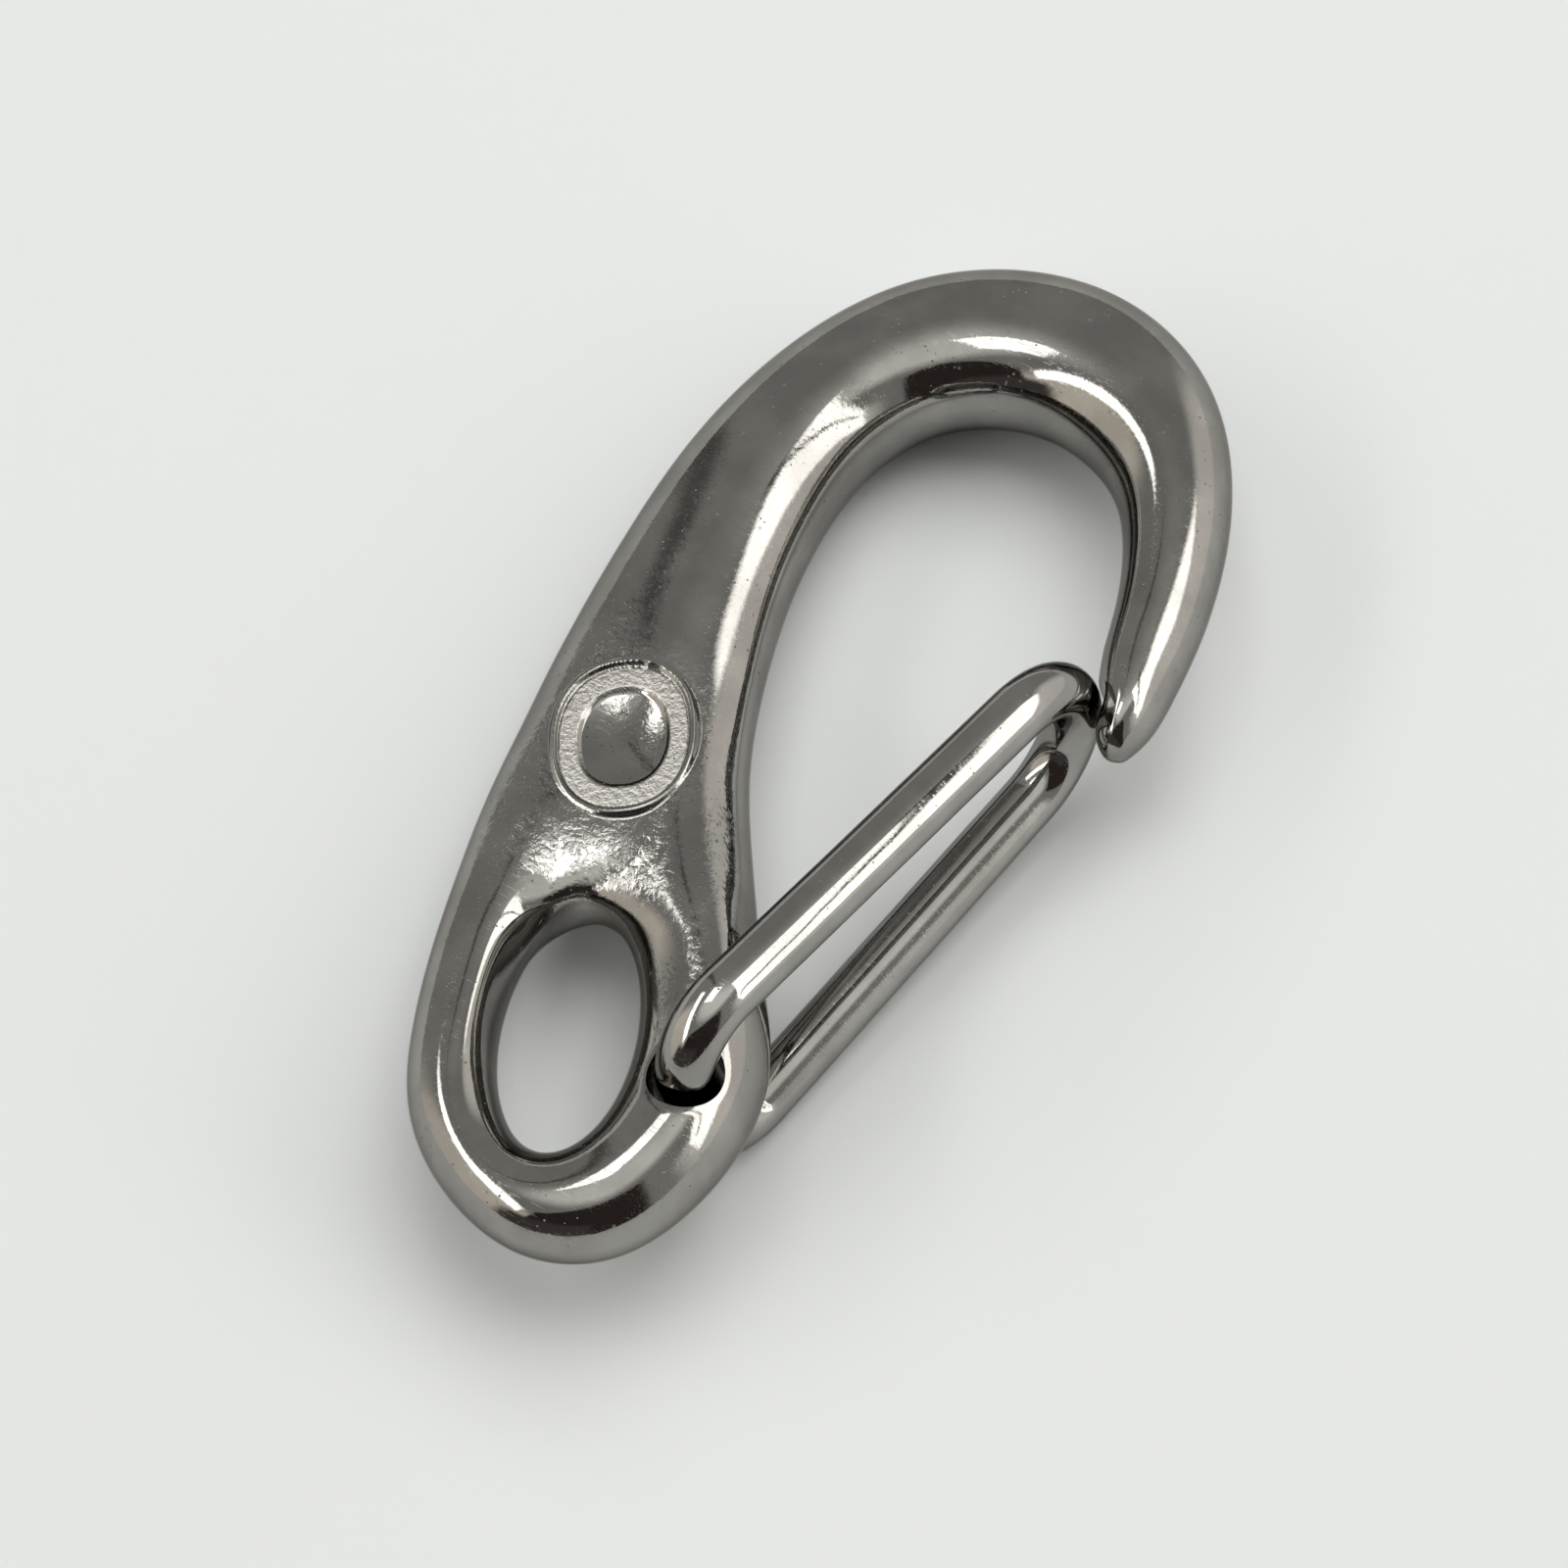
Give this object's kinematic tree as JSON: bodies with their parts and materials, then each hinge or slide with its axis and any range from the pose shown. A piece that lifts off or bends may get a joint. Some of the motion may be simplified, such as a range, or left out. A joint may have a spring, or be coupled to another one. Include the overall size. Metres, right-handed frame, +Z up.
{
  "type": "snap hook",
  "caption": "Polished cast steel hook with a fixed slanted oval eye and a sprung wire gate that closes its mouth and opens inward.",
  "frame": {"origin": "on the surface the hook lies on, under the middle of its bounding box", "axes": "+Y from the eye towards the crown of the hook, +X towards the gate side, +Z up off the surface. The hook lies as it would when put down flat, resting on its spine and on the lower leg of the gate, so its mid-plane is rolled about 7.6 degrees and pitched about 2.4 degrees out of level."},
  "size_m": [0.0366, 0.0746, 0.0178],
  "materials": {
    "cast_steel": "polished, with fine casting pits and hairline scratches",
    "gate_wire": "drawn wire, polished"
  },
  "bodies": {
    "body": {"hook_body": "cast_steel"},
    "gate": {"wire_gate": "gate_wire"}
  },
  "joints": [
    {"name": "gate_pivot", "type": "hinge", "parent": "body", "child": "gate", "pos_m": [0.00569, -0.02436, 0.00895], "axis": [-0.1328, 0.0415, 0.9903], "range_deg": [0, 29], "stiffness_Nm_per_rad": 0.12, "springref_deg": -11.46}
  ]
}
